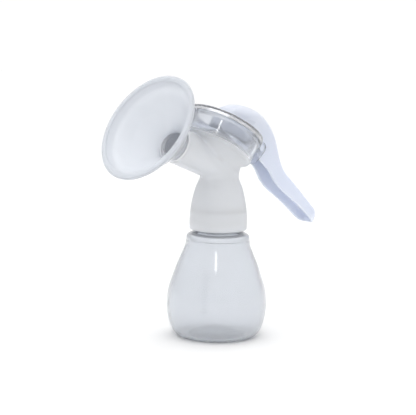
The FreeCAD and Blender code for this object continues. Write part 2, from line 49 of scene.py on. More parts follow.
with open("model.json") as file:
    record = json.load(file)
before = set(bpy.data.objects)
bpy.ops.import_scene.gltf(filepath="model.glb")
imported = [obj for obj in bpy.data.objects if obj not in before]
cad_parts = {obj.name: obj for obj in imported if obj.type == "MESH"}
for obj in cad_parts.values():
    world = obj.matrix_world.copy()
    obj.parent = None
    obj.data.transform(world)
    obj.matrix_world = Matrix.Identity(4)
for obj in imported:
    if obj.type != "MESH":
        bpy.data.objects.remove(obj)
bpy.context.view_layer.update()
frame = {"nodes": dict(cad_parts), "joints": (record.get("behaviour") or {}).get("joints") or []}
MM = 0.001
# how bright the white room is: its side walls, its ceiling and the backdrop behind the pump
ROOM_WALL = 0.75
ROOM_TOP = 1.05
BACKDROP = 1.05
# sizes in the materials, in millimetres: flow marks, the height of the skin's grain, how deep
# soft light spreads, and the band over which the body turns from cloudy to clear
FLOW_MARK = 22
GRAIN_HEIGHT = 0.05
GLOW_DEPTH = 3.0
CLOUDY_BELOW = -2
CLEAR_ABOVE = 3
# what the cloudy part keeps of the clear part's transmission, and its roughness
CLOUDY_SHARE = 0.45
CLOUDY_ROUGH = 0.42


# -------- places from the frame
def joint(name):
    """The frame's joint of that name."""
    return next(j for j in frame["joints"] if j["name"] == name)


LEVER_PIVOT = Vector(joint("lever_squeeze")["pos_m"]) / MM
PIN_R = 2.2
DRUM_AXIS = Vector(joint("stem_rise")["axis"]).normalized()


# -------- sizes and colours a user would change
def size(name, default, text):
    """A size as a property, in millimetres unless its text says otherwise."""
    return bpy.props.FloatProperty(name=name, default=default, min=0.0, description=text)


def tint(name, default, text):
    """A colour property, given as an sRGB hex value."""
    return bpy.props.StringProperty(name=name, default=default, description=text)


class PumpSizes(bpy.types.PropertyGroup):
    """Sizes of the pump's visible pieces, in millimetres, with tilts in degrees."""

    # bottle
    belly_r: size("Belly radius", 34.0, "Widest radius of the bottle")
    belly_z: size("Belly height", 23.0, "Height of the widest radius")
    foot_r: size("Foot radius", 24.0, "Outer radius of the ring the bottle stands on")
    foot_in_r: size("Foot inner radius", 19.0, "Inner radius of that ring")
    punt_rise: size("Punt rise", 5.0, "How far the hollow under the base rises")
    flank_r: size("Flank radius", 27.7, "Radius half way up the flank")
    flank_z: size("Flank height", 48.7, "Height of the flank radius")
    bead_r: size("Bead radius", 21.5, "Radius of the bead under the neck")
    bead_z: size("Bead height", 66.8, "Height of the bead")
    shoulder_z: size("Shoulder height", 71.2, "Height where the neck starts")
    mouth_z: size("Mouth height", 84.0, "Height of the bottle's mouth")
    neck_r: size("Neck radius", 15.8, "Outside of the neck under its thread")
    bottle_wall: size("Bottle wall", 1.4, "Thickness of the bottle")
    thread_pitch: size("Thread pitch", 4.0, "Rise of the thread in one turn")
    thread_depth: size("Thread depth", 1.2, "Height of the thread's ridge")
    thread_turns: size("Thread turns", 1.3, "How far each thread winds, in turns")
    thread_z: size("Thread start", 75.2, "Height where the bottle's ridge starts")
    scale_z: size("Scale start", 22.0, "Height of the lowest tick of the measuring scale")
    scale_pitch: size("Tick spacing", 2.4, "Height from one tick to the next")
    scale_turn: size("Scale direction", 212.0, "Side that the scale faces, in degrees from +X")
    # pump body
    skirt_r: size("Skirt radius", 19.5, "Outside of the skirt")
    skirt_z: size("Skirt edge", 73.0, "Height of the skirt's lower edge")
    skirt_round: size("Skirt rounding", 1.4, "Rounding of the skirt's edge")
    waist_r: size("Waist radius", 12.5, "Narrowest radius of the neck")
    waist_z: size("Waist height", 111.0, "Height of the waist")
    body_wall: size("Body wall", 2.0, "Thickness of the body's walls")
    ceiling_z: size("Ceiling height", 85.4, "Underside of the plate over the bottle's mouth")
    socket_gap: size("Socket gap", 0.35, "Gap round the bottle's thread")
    spout_r: size("Spout radius", 7.0, "Outside of the spout that holds the valve")
    # drum
    drum_x: size("Drum centre X", 5.1, "Centre of the drum's top plane")
    drum_z: size("Drum centre Z", 144.1, "Centre of the drum's top plane")
    drum_r: size("Drum radius", 26.6, "Outside of the drum's wall at its top")
    drum_foot_r: size("Drum foot radius", 25.8, "Outside of the drum's wall at its foot")
    flange_r: size("Flange radius", 27.5, "Radius of the drum's flange")
    drum_depth: size("Drum depth", 20.0, "Top plane to the underside of the floor")
    bowl_depth: size("Bowl depth", 6.0, "Height of the cone under the drum")
    bowl_r: size("Bowl radius", 23.0, "Top radius of that cone")
    ring_t: size("Clamp ring plate", 1.4, "Thickness of the clamp ring's plate")
    rim_t: size("Diaphragm rim", 2.0, "Thickness of the diaphragm's clamped rim")
    opening_r: size("Ring opening", 22.4, "Opening of the clamp ring")
    diaphragm_r: size("Diaphragm radius", 22.2, "Outside of the diaphragm's cup")
    # arm and funnel
    arm_tilt: size("Arm tilt", 23.5, "Arm's axis above the horizontal, in degrees")
    flare_tilt: size("Flare tilt", 32.0, "Flare's axis above the horizontal, in degrees")
    rim_x: size("Rim distance", 66.5, "Centre of the cushion's front plane, towards -X")
    rim_z: size("Rim height", 145.9, "Centre of the cushion's front plane")
    rim_r: size("Rim radius", 38.2, "Outside of the cushion's lip")
    elbow_depth: size("Elbow depth", 12.0, "Front plane to where the two axes meet")
    throat_depth: size("Throat depth", 27.0, "Front plane to the end of the flare")
    throat_r: size("Throat radius", 11.0, "Inside of the funnel at the throat")
    funnel_wall: size("Funnel wall", 1.4, "Thickness of the funnel")
    cushion_t: size("Cushion thickness", 1.4, "Thickness of the soft liner")
    lip_t: size("Lip thickness", 0.9, "Cushion round the funnel's rim")
    # handle
    grip_half: size("Grip half width", 8.8, "Half the width of the grip")
    hinge_half: size("Hinge half width", 7.0, "Half the width between the ears")
    head_half: size("Head half width", 10.8, "Half the width of the head")
    handle_wall: size("Handle wall", 1.9, "Thickness of the handle's walls")
    back_round: size("Back rounding", 4.2, "Rounding along the handle's back")
    crown: size("Head crown", 5.0, "How far the head's sides lie below its middle")


class PumpColours(bpy.types.PropertyGroup):
    """Colours of the pump's materials, as sRGB hex values."""

    body: tint("Body", "F9FBFE", "Translucent polypropylene of the body and bottle")
    clear: tint("Clear", "FBFCFF", "Clear plastic of the clamp ring and funnel, and the diaphragm")
    depth: tint("Depth", "C3CFE2", "Cast that thick plastic and silicone take on")
    silicone: tint("Silicone", "E9EDF4", "Soft silicone of the cushion")
    handle: tint("Handle", "D6DBE8", "White polypropylene of the handle")
    inner: tint("Inner parts", "E9EBF0", "Stem, lock disc, valve and seals")
    floor: tint("Floor", "FFFFFF", "Backdrop")


def sizes():
    """The sizes as they are set in the scene."""
    return bpy.context.scene.pump_sizes


def colours():
    """The colours as they are set in the scene."""
    return bpy.context.scene.pump_colours


# -------- outlines, in millimetres
def flowing(points, steps=14):
    """A smooth line through points."""
    pts = [np.array(q, float) for q in points]
    pts = [2 * pts[0] - pts[1]] + pts + [2 * pts[-1] - pts[-2]]
    out = []
    for a, b, c, d in zip(pts, pts[1:], pts[2:], pts[3:]):
        for i in range(steps):
            t = i / steps
            square = (2 * a - 5 * b + 4 * c - d) * t * t
            cube = (3 * b - 3 * c + d - a) * t**3
            out.append(0.5 * (2 * b + (c - a) * t + square + cube))
    out.append(pts[-2])
    return [tuple(q) for q in out]


def bend(centre, r, start, end, steps=8):
    """Points of an arc about centre, from start to end in degrees."""
    angles = [math.radians(start + (end - start) * i / steps) for i in range(steps + 1)]
    return [(centre[0] + r * math.cos(a), centre[1] + r * math.sin(a)) for a in angles]


def dome(r, z_edge, z_top, steps=12):
    """A spherical cap's line from (r, z_edge) up to the axis."""
    rise = z_top - z_edge
    radius = (r * r + rise * rise) / (2 * rise)
    half = math.asin(r / radius)
    angles = [half * (1 - i / steps) for i in range(steps + 1)]
    return [(radius * math.sin(a), z_top - radius * (1 - math.cos(a))) for a in angles]


def thicker(points, amount):
    """The line moved to its left-hand side by amount."""
    pts = np.array(points, float)
    along = np.gradient(pts, axis=0)
    along /= np.linalg.norm(along, axis=1)[:, None] + 1e-12
    return [tuple(q) for q in pts + amount * np.stack([-along[:, 1], along[:, 0]], 1)]


# -------- meshes
def new_mesh_object(name, verts, faces):
    """A smooth mesh object from vertices in millimetres, with its place in its mesh."""
    mesh = bpy.data.meshes.new(name)
    mesh.from_pydata([tuple(v) for v in np.asarray(verts, float) * MM], [], faces)
    mesh.validate()
    mesh.update()
    mesh.shade_smooth()
    made = bpy.data.objects.new(name, mesh)
    bpy.context.scene.collection.objects.link(made)
    return made


def turned(name, outline, place=None, sides=160):
    """A closed outline turned about Z. Points on the axis become poles."""
    on_axis = 1e-6
    ring_of, verts = [], []
    for r, z in outline:
        if r < on_axis:
            ring_of.append([len(verts)] * sides)
            verts.append((0, 0, z))
            continue
        ring_of.append(list(range(len(verts), len(verts) + sides)))
        for i in range(sides):
            a = 2 * math.pi * i / sides
            verts.append((r * math.cos(a), r * math.sin(a), z))
    faces = []
    pairs = list(zip(ring_of, ring_of[1:]))
    if outline[0][0] > on_axis or outline[-1][0] > on_axis:
        pairs.append((ring_of[-1], ring_of[0]))
    for low, high in pairs:
        for i in range(sides):
            j = (i + 1) % sides
            corner = [low[i], low[j], high[j], high[i]]
            face = [v for k, v in enumerate(corner) if v != corner[k - 1]]
            if len(face) > 2:
                faces.append(face)
    verts = np.array(verts)
    if place is not None:
        verts = placed(verts, place)
    made = new_mesh_object(name, verts, faces)
    face_outwards(made)
    return made


def face_outwards(made):
    """Turns every face outwards."""
    work = bmesh.new()
    work.from_mesh(made.data)
    bmesh.ops.recalc_face_normals(work, faces=work.faces)
    work.to_mesh(made.data)
    work.free()


def placed(verts, place):
    """Vertices in millimetres, moved by a 4 by 4 matrix."""
    turn = np.array(place.to_3x3())
    return np.asarray(verts) @ turn.T + np.array(place.translation)


def frame_of(origin, up):
    """A matrix at origin, in millimetres, whose Z is up and whose Y is the pump's own Y."""
    up = Vector(up).normalized()
    side = Vector((0, 1, 0))
    ahead = side.cross(up)
    return Matrix.Translation(Vector(origin)) @ Matrix((ahead, side, up)).transposed().to_4x4()


# -------- solid fields
# A field is the signed distance to a shape's surface, in millimetres, negative inside.
class Block:
    """A regular grid of points in a box, in millimetres."""

    def __init__(self, low, high, step):
        self.low, self.step = np.array(low, float), step
        counts = np.ceil((np.array(high) - self.low) / step).astype(int) + 1
        axes = [self.low[k] + step * np.arange(counts[k]) for k in range(3)]
        self.x, self.y, self.z = np.meshgrid(*axes, indexing="ij")


def merged(a, b, blend=0.0):
    """Both shapes, with a fillet of about blend where they meet."""
    if blend <= 0:
        return np.minimum(a, b)
    h = np.clip(blend - np.abs(a - b), 0, None) / blend
    return np.minimum(a, b) - h * h * h * blend / 6


def shared(a, b, blend=0.0):
    """What is in both shapes, with an edge rounded by about blend."""
    return -merged(-a, -b, blend)


def without(a, b, blend=0.0):
    """The first shape with the second cut away."""
    return shared(a, -b, blend)


def outline_distance(points, x, z):
    """Signed distance from a closed outline at the points x, z."""
    near = np.full(x.shape, 1e9)
    inside = np.zeros(x.shape, bool)
    for (x0, z0), (x1, z1) in zip(points, points[1:] + points[:1]):
        ex, ez = x1 - x0, z1 - z0
        reach = ex * ex + ez * ez
        if reach < 1e-12:
            continue
        t = np.clip(((x - x0) * ex + (z - z0) * ez) / reach, 0, 1)
        near = np.minimum(near, (x - x0 - t * ex) ** 2 + (z - z0 - t * ez) ** 2)
        if abs(ez) > 1e-12:
            inside ^= ((z0 > z) != (z1 > z)) & (x < ex * (z - z0) / ez + x0)
    return np.where(inside, -1, 1) * np.sqrt(near)


class Chart:
    """The signed distance to a closed outline, kept as a table and read between its points."""

    def __init__(self, points, low, high, step=0.2):
        self.low, self.step = low, step
        x = np.arange(low[0], high[0] + step, step)
        z = np.arange(low[1], high[1] + step, step)
        gx, gz = np.meshgrid(x, z, indexing="ij")
        self.table = outline_distance(points, gx, gz)

    def at(self, x, z):
        """The distance at the points x, z."""
        i = np.clip((x - self.low[0]) / self.step, 0, self.table.shape[0] - 1.001)
        k = np.clip((z - self.low[1]) / self.step, 0, self.table.shape[1] - 1.001)
        i0, k0 = i.astype(int), k.astype(int)
        part_x, part_z = i - i0, k - k0
        t = self.table
        low = t[i0, k0] * (1 - part_x) + t[i0 + 1, k0] * part_x
        high = t[i0, k0 + 1] * (1 - part_x) + t[i0 + 1, k0 + 1] * part_x
        return low * (1 - part_z) + high * part_z


def turned_field(points, radius, height, margin=6.0):
    """The field of an outline turned about its axis; the outline may cross the axis."""
    pts = [tuple(map(float, q)) for q in points]
    rs, zs = zip(*pts)
    chart = Chart(pts, (0.0, min(zs) - margin), (max(rs) + margin, max(zs) + margin))
    return chart.at(radius, height)


def core(line, radius, height):
    """The field of a line turned about its axis, filled from the axis out to the line."""
    past_axis = -9
    closed = [(past_axis, line[0][1])] + line + [(past_axis, line[-1][1])]
    return turned_field(closed, radius, height)


def roomy(box, step):
    """A block that holds a box in metres, with 2 mm to spare all round."""
    spare = Vector((2, 2, 2))
    return Block(box[0] / MM - spare, box[1] / MM + spare, step)


def skin(name, field, block, settle=2):
    """The closed surface of a field, as a mesh of even four-sided faces."""
    n = np.array(field.shape)
    total = np.zeros((*(n - 1), 3))
    hits = np.zeros(n - 1)
    quads = []
    index = np.stack(np.meshgrid(*[np.arange(k - 1) for k in n], indexing="ij"), -1)
    crossing = []
    for axis in range(3):
        near = np.take(field, range(n[axis] - 1), axis)
        far = np.take(field, range(1, n[axis]), axis)
        cut = (near < 0) != (far < 0)
        part = np.where(cut, near / np.where(cut, near - far, 1), 0)
        crossing.append((cut, near < 0))
        others = [k for k in range(3) if k != axis]
        for da, db in np.ndindex(2, 2):
            window = [slice(None)] * 3
            window[others[0]] = slice(da, da + n[others[0]] - 1)
            window[others[1]] = slice(db, db + n[others[1]] - 1)
            c, t = cut[tuple(window)], part[tuple(window)]
            place = np.zeros((*c.shape, 3))
            place[..., axis] = t
            place[..., others[0]] = da
            place[..., others[1]] = db
            total += np.where(c[..., None], place, 0)
            hits += c
    used = hits > 0
    number = np.full(used.shape, -1)
    number[used] = np.arange(used.sum())
    verts = index[used] + total[used] / hits[used][:, None]
    for axis in range(3):
        cut, inward = crossing[axis]
        others = [k for k in range(3) if k != axis]
        i = np.argwhere(cut)
        keep = np.all([(i[:, k] > 0) & (i[:, k] < n[k] - 1) for k in others], axis=0)
        i = i[keep]
        flip = inward[tuple(i.T)] != (axis == 1)
        ring = []
        for da, db in ((0, 0), (1, 0), (1, 1), (0, 1)):
            j = i.copy()
            j[:, others[0]] -= da
            j[:, others[1]] -= db
            ring.append(number[tuple(j.T)])
        quad = np.stack(ring, 1)
        quad[flip] = quad[flip][:, ::-1]
        quads.append(quad)
    verts = relaxed(verts, field, settle)
    faces = np.concatenate(quads)[:, ::-1]
    return new_mesh_object(name, verts * block.step + block.low, faces.tolist())


def between(field, at):
    """The field read between its grid points."""
    i = np.clip(at, 0, np.array(field.shape) - 1.001)
    base = i.astype(int)
    f = i - base
    value = 0
    for dx, dy, dz in np.ndindex(2, 2, 2):
        weight = np.abs(1 - dx - f[:, 0]) * np.abs(1 - dy - f[:, 1]) * np.abs(1 - dz - f[:, 2])
        value = value + weight * field[base[:, 0] + dx, base[:, 1] + dy, base[:, 2] + dz]
    return value


def relaxed(verts, field, rounds):
    """Moves the vertices onto the surface itself."""
    halves = 0.5 * np.eye(3)
    flat = 0.02
    for _ in range(rounds):
        value = between(field, verts)
        slope = np.stack([between(field, verts + h) - between(field, verts - h) for h in halves], 1)
        reach = (slope**2).sum(1)
        step = np.where(reach > flat, value / np.maximum(reach, flat), 0)[:, None] * slope
        verts = verts - np.clip(step, -0.5, 0.5)
    return verts


# -------- materials
def linear(hex_colour):
    """A colour from its sRGB hex value, in the linear values that shaders use."""
    parts = [int(hex_colour[i : i + 2], 16) / 255 for i in (0, 2, 4)]
    return [c / 12.92 if c <= 0.04045 else ((c + 0.055) / 1.055) ** 2.4 for c in parts] + [1.0]


def add(tree, kind, sockets=None, **settings):
    """Adds a node with its settings; a socket takes a value or another node's output."""
    node = tree.nodes.new(kind)
    for key, value in settings.items():
        setattr(node, key, value)
    for key, value in (sockets or {}).items():
        if isinstance(value, bpy.types.NodeSocket):
            tree.links.new(value, node.inputs[key])
        else:
            node.inputs[key].default_value = value
    return node


def start_material(name):
    """A new material's tree, its output and its Object coordinates."""
    material = bpy.data.materials.new(name)
    material.use_nodes = True
    tree = material.node_tree
    tree.nodes.clear()
    output = add(tree, "ShaderNodeOutputMaterial")
    place = add(tree, "ShaderNodeTexCoord").outputs["Object"]
    return tree, output, place


def moulded(name, colour, density, rough, transmission, grain_mm, bump, ior=1.49, glow=0.0, milky=None):
    """Moulded plastic or silicone: flow marks in its gloss, a fine skin, and a cast in its depth.

    glow is how much of its milky share lets soft light through a thin wall, and
    milky is a plane, as a point and an upward axis in metres, under which it turns cloudy.
    """
    tree, output, place = start_material(name)
    flow = add(
        tree,
        "ShaderNodeTexNoise",
        {"Vector": place, "Scale": 1 / (FLOW_MARK * MM), "Detail": 2.0, "Distortion": 1.2},
    )
    grain = add(
        tree, "ShaderNodeTexNoise", {"Vector": place, "Scale": 1 / (grain_mm * MM), "Detail": 1.0}
    )
    swing = {"From Min": 0.3, "From Max": 0.7, "To Min": 0.8 * rough, "To Max": 1.2 * rough}
    gloss = add(tree, "ShaderNodeMapRange", {"Value": flow.outputs["Fac"], **swing})
    relief = add(
        tree,
        "ShaderNodeBump",
        {"Height": grain.outputs["Fac"], "Strength": bump, "Distance": GRAIN_HEIGHT * MM},
    )
    base = add(
        tree,
        "ShaderNodeBsdfPrincipled",
        {
            "Base Color": linear(colour),
            "Roughness": gloss.outputs["Result"],
            "IOR": ior,
            "Transmission Weight": transmission,
            "Subsurface Weight": glow,
            "Subsurface Radius": (1.0, 1.0, 1.0),
            "Subsurface Scale": GLOW_DEPTH * MM,
            "Normal": relief.outputs["Normal"],
        },
    )
    if milky:
        point, axis = milky
        from_point = add(tree, "ShaderNodeVectorMath", {0: place, 1: point}, operation="SUBTRACT")
        height = add(
            tree,
            "ShaderNodeVectorMath",
            {0: from_point.outputs["Vector"], 1: axis},
            operation="DOT_PRODUCT",
        )
        band = {"From Min": CLOUDY_BELOW * MM, "From Max": CLEAR_ABOVE * MM}
        for socket, cloudy, clear in (
            ("Transmission Weight", CLOUDY_SHARE * transmission, transmission),
            ("Roughness", CLOUDY_ROUGH, rough),
        ):
            change = {"Value": height.outputs["Value"], **band, "To Min": cloudy, "To Max": clear}
            clearer = add(tree, "ShaderNodeMapRange", change)
            tree.links.new(clearer.outputs["Result"], base.inputs[socket])
    tree.links.new(base.outputs["BSDF"], output.inputs["Surface"])
    if density > 0:
        depth = linear(colours().depth)
        cast = add(tree, "ShaderNodeVolumeAbsorption", {"Color": depth, "Density": density})
        tree.links.new(cast.outputs["Volume"], output.inputs["Volume"])


def paint(made, material):
    """Gives a piece the material of that name, and no other."""
    made.data.materials.clear()
    made.data.materials.append(bpy.data.materials[material])


# -------- node trees for what repeats
def start_tree(name, wanted):
    """An empty geometry node group, with each input's name and its kind of socket."""
    tree = bpy.data.node_groups.new(name, "GeometryNodeTree")
    for label, kind in wanted.items():
        tree.interface.new_socket(label, in_out="INPUT", socket_type="NodeSocket" + kind)
    tree.interface.new_socket("Geometry", in_out="OUTPUT", socket_type="NodeSocketGeometry")
    return tree, add(tree, "NodeGroupInput").outputs


def finish_tree(tree, instances, material):
    """Ends a tree with real geometry in its material."""
    real = add(tree, "GeometryNodeRealizeInstances", {"Geometry": instances}).outputs["Geometry"]
    painted = add(tree, "GeometryNodeSetMaterial", {"Geometry": real, "Material": material})
    add(tree, "NodeGroupOutput", {"Geometry": painted.outputs["Geometry"]})
    return tree


def thread_tree():
    """A screw thread's round ridge, which winds up a wall."""
    lengths = dict.fromkeys(("Radius", "Pitch", "Turns", "Height", "Ridge"), "Float")
    tree, given = start_tree("screw_thread", {**lengths, "Material": "Material"})
    climb = add(tree, "ShaderNodeMath", {0: given["Pitch"], 1: given["Turns"]}, operation="MULTIPLY")
    spiral = add(
        tree,
        "GeometryNodeCurveSpiral",
        {
            "Resolution": 64,
            "Rotations": given["Turns"],
            "Start Radius": given["Radius"],
            "End Radius": given["Radius"],
            "Height": climb.outputs["Value"],
        },
    ).outputs["Curve"]
    section = add(
        tree, "GeometryNodeCurvePrimitiveCircle", {"Resolution": 12, "Radius": given["Ridge"]}
    ).outputs["Curve"]
    ridge = add(
        tree,
        "GeometryNodeCurveToMesh",
        {"Curve": spiral, "Profile Curve": section, "Fill Caps": True},
    ).outputs["Mesh"]
    start = add(tree, "ShaderNodeCombineXYZ", {"Z": given["Height"]}).outputs["Vector"]
    lifted = add(tree, "GeometryNodeTransform", {"Geometry": ridge, "Translation": start})
    return finish_tree(tree, lifted.outputs["Geometry"], given["Material"])


def scale_tree():
    """A measuring scale: raised ticks up a curved wall, with every fifth one longer."""
    wanted = {
        "Wall": "Object",
        "Direction": "Vector",
        "Ticks": "Int",
        "First tick": "Float",
        "Spacing": "Float",
        "Tick": "Vector",
        "Material": "Material",
    }
    tree, given = start_tree("measuring_scale", wanted)
    first = add(tree, "ShaderNodeCombineXYZ", {"Z": given["First tick"]}).outputs["Vector"]
    apart = add(tree, "ShaderNodeCombineXYZ", {"Z": given["Spacing"]}).outputs["Vector"]
    column = add(
        tree,
        "GeometryNodeMeshLine",
        {"Count": given["Ticks"], "Start Location": first, "Offset": apart},
    ).outputs["Mesh"]
    spot = add(tree, "GeometryNodeInputPosition").outputs["Position"]
    height = add(tree, "ShaderNodeSeparateXYZ", {"Vector": spot}).outputs["Z"]
    level = add(tree, "ShaderNodeCombineXYZ", {"Z": height}).outputs["Vector"]
    # each tick is found by a ray that starts outside the wall and looks inwards
    reach = 0.06
    source = add(
        tree,
        "ShaderNodeVectorMath",
        {0: given["Direction"], 1: (reach, reach, reach), 2: level},
        operation="MULTIPLY_ADD",
    ).outputs["Vector"]
    inwards = add(
        tree, "ShaderNodeVectorMath", {0: given["Direction"], "Scale": -1.0}, operation="SCALE"
    ).outputs["Vector"]
    wall = add(tree, "GeometryNodeObjectInfo", {"Object": given["Wall"]}).outputs["Geometry"]
    hit = add(
        tree,
        "GeometryNodeRaycast",
        {
            "Target Geometry": wall,
            "Source Position": source,
            "Ray Direction": inwards,
            "Ray Length": reach,
        },
    ).outputs
    on_wall = add(
        tree, "GeometryNodeSetPosition", {"Geometry": column, "Position": hit["Hit Position"]}
    ).outputs["Geometry"]
    outwards = add(
        tree, "FunctionNodeAlignRotationToVector", {"Vector": hit["Hit Normal"]}, axis="Y"
    ).outputs["Rotation"]
    index = add(tree, "GeometryNodeInputIndex").outputs["Index"]
    order = add(tree, "ShaderNodeMath", {0: index, 1: 5.0}, operation="MODULO").outputs["Value"]
    short = add(tree, "ShaderNodeMath", {0: order, 1: 0.5}, operation="GREATER_THAN").outputs["Value"]
    width = add(tree, "ShaderNodeMapRange", {"Value": short, "To Min": 1.0, "To Max": 0.55})
    stretch = add(tree, "ShaderNodeCombineXYZ", {"X": width.outputs["Result"], "Y": 1.0, "Z": 1.0})
    bar = add(tree, "GeometryNodeMeshCube", {"Size": given["Tick"]}).outputs["Mesh"]
    ticks = add(
        tree,
        "GeometryNodeInstanceOnPoints",
        {
            "Points": on_wall,
            "Instance": bar,
            "Rotation": outwards,
            "Scale": stretch.outputs["Vector"],
        },
    )
    return finish_tree(tree, ticks.outputs["Instances"], given["Material"])


def grown(name, tree, values):
    """What a node tree makes from these inputs, as a plain mesh."""
    carrier = new_mesh_object(name, [(0, 0, 0)], [])
    live = carrier.modifiers.new("tree", "NODES")
    live.node_group = tree
    for item in tree.interface.items_tree:
        if item.in_out == "INPUT" and item.name in values:
            live[item.identifier] = values[item.name]
    graph = bpy.context.evaluated_depsgraph_get()
    mesh = bpy.data.meshes.new_from_object(carrier.evaluated_get(graph), depsgraph=graph)
    carrier.modifiers.remove(live)
    carrier.data = mesh
    face_outwards(carrier)
    return carrier


# -------- bottle
def bottle_side(s, inset):
    """Foot, belly, flank, bead and shoulder, drawn inwards by inset."""
    width = s.belly_r - inset - s.foot_r
    rise = s.belly_z - inset
    foot = [
        (s.foot_r + width * math.sin(a), s.belly_z - rise * math.cos(a))
        for a in [math.pi / 2 * i / 16 for i in range(17)]
    ]
    flank = flowing(
        [
            (s.belly_r - inset, s.belly_z),
            (s.belly_r - inset - 1.0, s.belly_z + 9.5),
            (s.flank_r + 2.1 - inset, s.flank_z - 6.2),
            (s.flank_r - inset, s.flank_z),
            (s.flank_r - 3.4 - inset, s.flank_z + 8.2),
            (s.bead_r + 0.7 - inset, s.bead_z - 4.6),
            (s.bead_r + 0.1 - inset, s.bead_z - 1.2),
        ],
        8,
    )
    groove = 0.5 if inset == 0 else 0.0
    bead = flowing(
        [
            (s.bead_r + 0.1 - inset - groove, s.bead_z - 0.6),
            (s.bead_r - inset, s.bead_z + 0.4),
            (s.bead_r - inset - 0.5, s.bead_z + 2.4 - 0.5 * inset),
            (s.neck_r + 3.2, s.shoulder_z - 0.7 - inset),
            (s.neck_r + 1.0, s.shoulder_z - inset),
        ],
        6,
    )
    return foot + flank[1:] + bead


def bottle_outline(s):
    """The closed half outline of the bottle's wall, from the punt round to its inner bed."""
    bore_r = s.neck_r - s.bottle_wall - 0.4
    outside = bottle_side(s, 0)
    lip = 0.5
    mouth = [(s.neck_r, s.shoulder_z + 0.6)]
    mouth += bend((s.neck_r - lip, s.mouth_z - lip), lip, 0, 90, 5)
    mouth += bend((bore_r + lip, s.mouth_z - lip), lip, 90, 180, 5)
    inside = bottle_side(s, s.bottle_wall)
    bed = dome(s.foot_in_r - 1.0, s.bottle_wall, s.punt_rise + s.bottle_wall)
    punt = dome(s.foot_in_r, 0, s.punt_rise)
    down = [(bore_r, s.shoulder_z - s.bottle_wall)]
    return punt[::-1] + outside + mouth + down + inside[::-1] + bed


class PUMP_OT_bottle(bpy.types.Operator):
    """Makes the pear-shaped bottle"""

    bl_idname = "pump.bottle"
    bl_label = "Bottle"

    def execute(self, context):
        s = sizes()
        bottle = turned("milk_bottle", bottle_outline(s))
        paint(bottle, "blown_polypropylene")
        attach(bottle, "bottle")
        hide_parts("bottle")
        return {"FINISHED"}


class PUMP_OT_threads(bpy.types.Operator):
    """Winds the screw threads of the bottle's neck and of the body's socket"""

    bl_idname = "pump.threads"
    bl_label = "Screw threads"

    def execute(self, context):
        s = sizes()
        tree = thread_tree()
        sunk = 0.1
        socket_r = s.neck_r + s.thread_depth + s.socket_gap
        socket_z = s.thread_z + s.thread_pitch / 2
        for name, radius, height, body, slot, material in (
            ("bottle_thread", s.neck_r, s.thread_z, "bottle", "bottle_pp", "blown_polypropylene"),
            ("socket_thread", socket_r, socket_z, "pump_body", "body_pp", "milky_polypropylene"),
        ):
            made = grown(
                name,
                tree,
                {
                    "Radius": radius * MM,
                    "Pitch": s.thread_pitch * MM,
                    "Turns": s.thread_turns,
                    "Height": height * MM,
                    "Ridge": (s.thread_depth - sunk) * MM,
                    "Material": bpy.data.materials[material],
                },
            )
            made.data.shade_smooth()
            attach(made, body)
        return {"FINISHED"}


class PUMP_OT_scale(bpy.types.Operator):
    """Raises a measuring scale on the bottle"""

    bl_idname = "pump.scale"
    bl_label = "Measuring scale"

    def execute(self, context):
        s = sizes()
        turn = math.radians(s.scale_turn)
        ticks, tick_w, tick_t, tick_h = 11, 5.0, 0.5, 0.6
        made = grown(
            "measuring_scale",
            scale_tree(),
            {
                "Wall": bpy.data.objects["milk_bottle"],
                "Direction": (math.cos(turn), math.sin(turn), 0.0),
                "Ticks": ticks,
                "First tick": s.scale_z * MM,
                "Spacing": s.scale_pitch * MM,
                "Tick": (tick_w * MM, tick_t * MM, tick_h * MM),
                "Material": bpy.data.materials["blown_polypropylene"],
            },
        )
        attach(made, "bottle")
        return {"FINISHED"}


# -------- pump body
def drum_frame(s):
    """The drum's frame: its Z is the drum's axis, from the centre of its top plane."""
    return frame_of((s.drum_x, 0, s.drum_z), DRUM_AXIS)


def in_frame(block, place):
    """A block's points in another frame: along its X, across, and along its Z."""
    back = np.array(place.inverted())
    x, y, z = block.x, block.y, block.z
    return [back[k, 0] * x + back[k, 1] * y + back[k, 2] * z + back[k, 3] for k in range(3)]


def arm_frame(s):
    """The arm's frame: its Z points out of its mouth, from the elbow."""
    elbow = flare_frame(s) @ Vector((0, 0, -s.elbow_depth))
    tilt = math.radians(s.arm_tilt)
    return frame_of(elbow, (-math.cos(tilt), 0, math.sin(tilt)))


def flare_frame(s):
    """The flare's frame: its Z points out of the flare, from the centre of its front plane."""
    tilt = math.radians(s.flare_tilt)
    return frame_of((-s.rim_x, 0, s.rim_z), (-math.cos(tilt), 0, math.sin(tilt)))


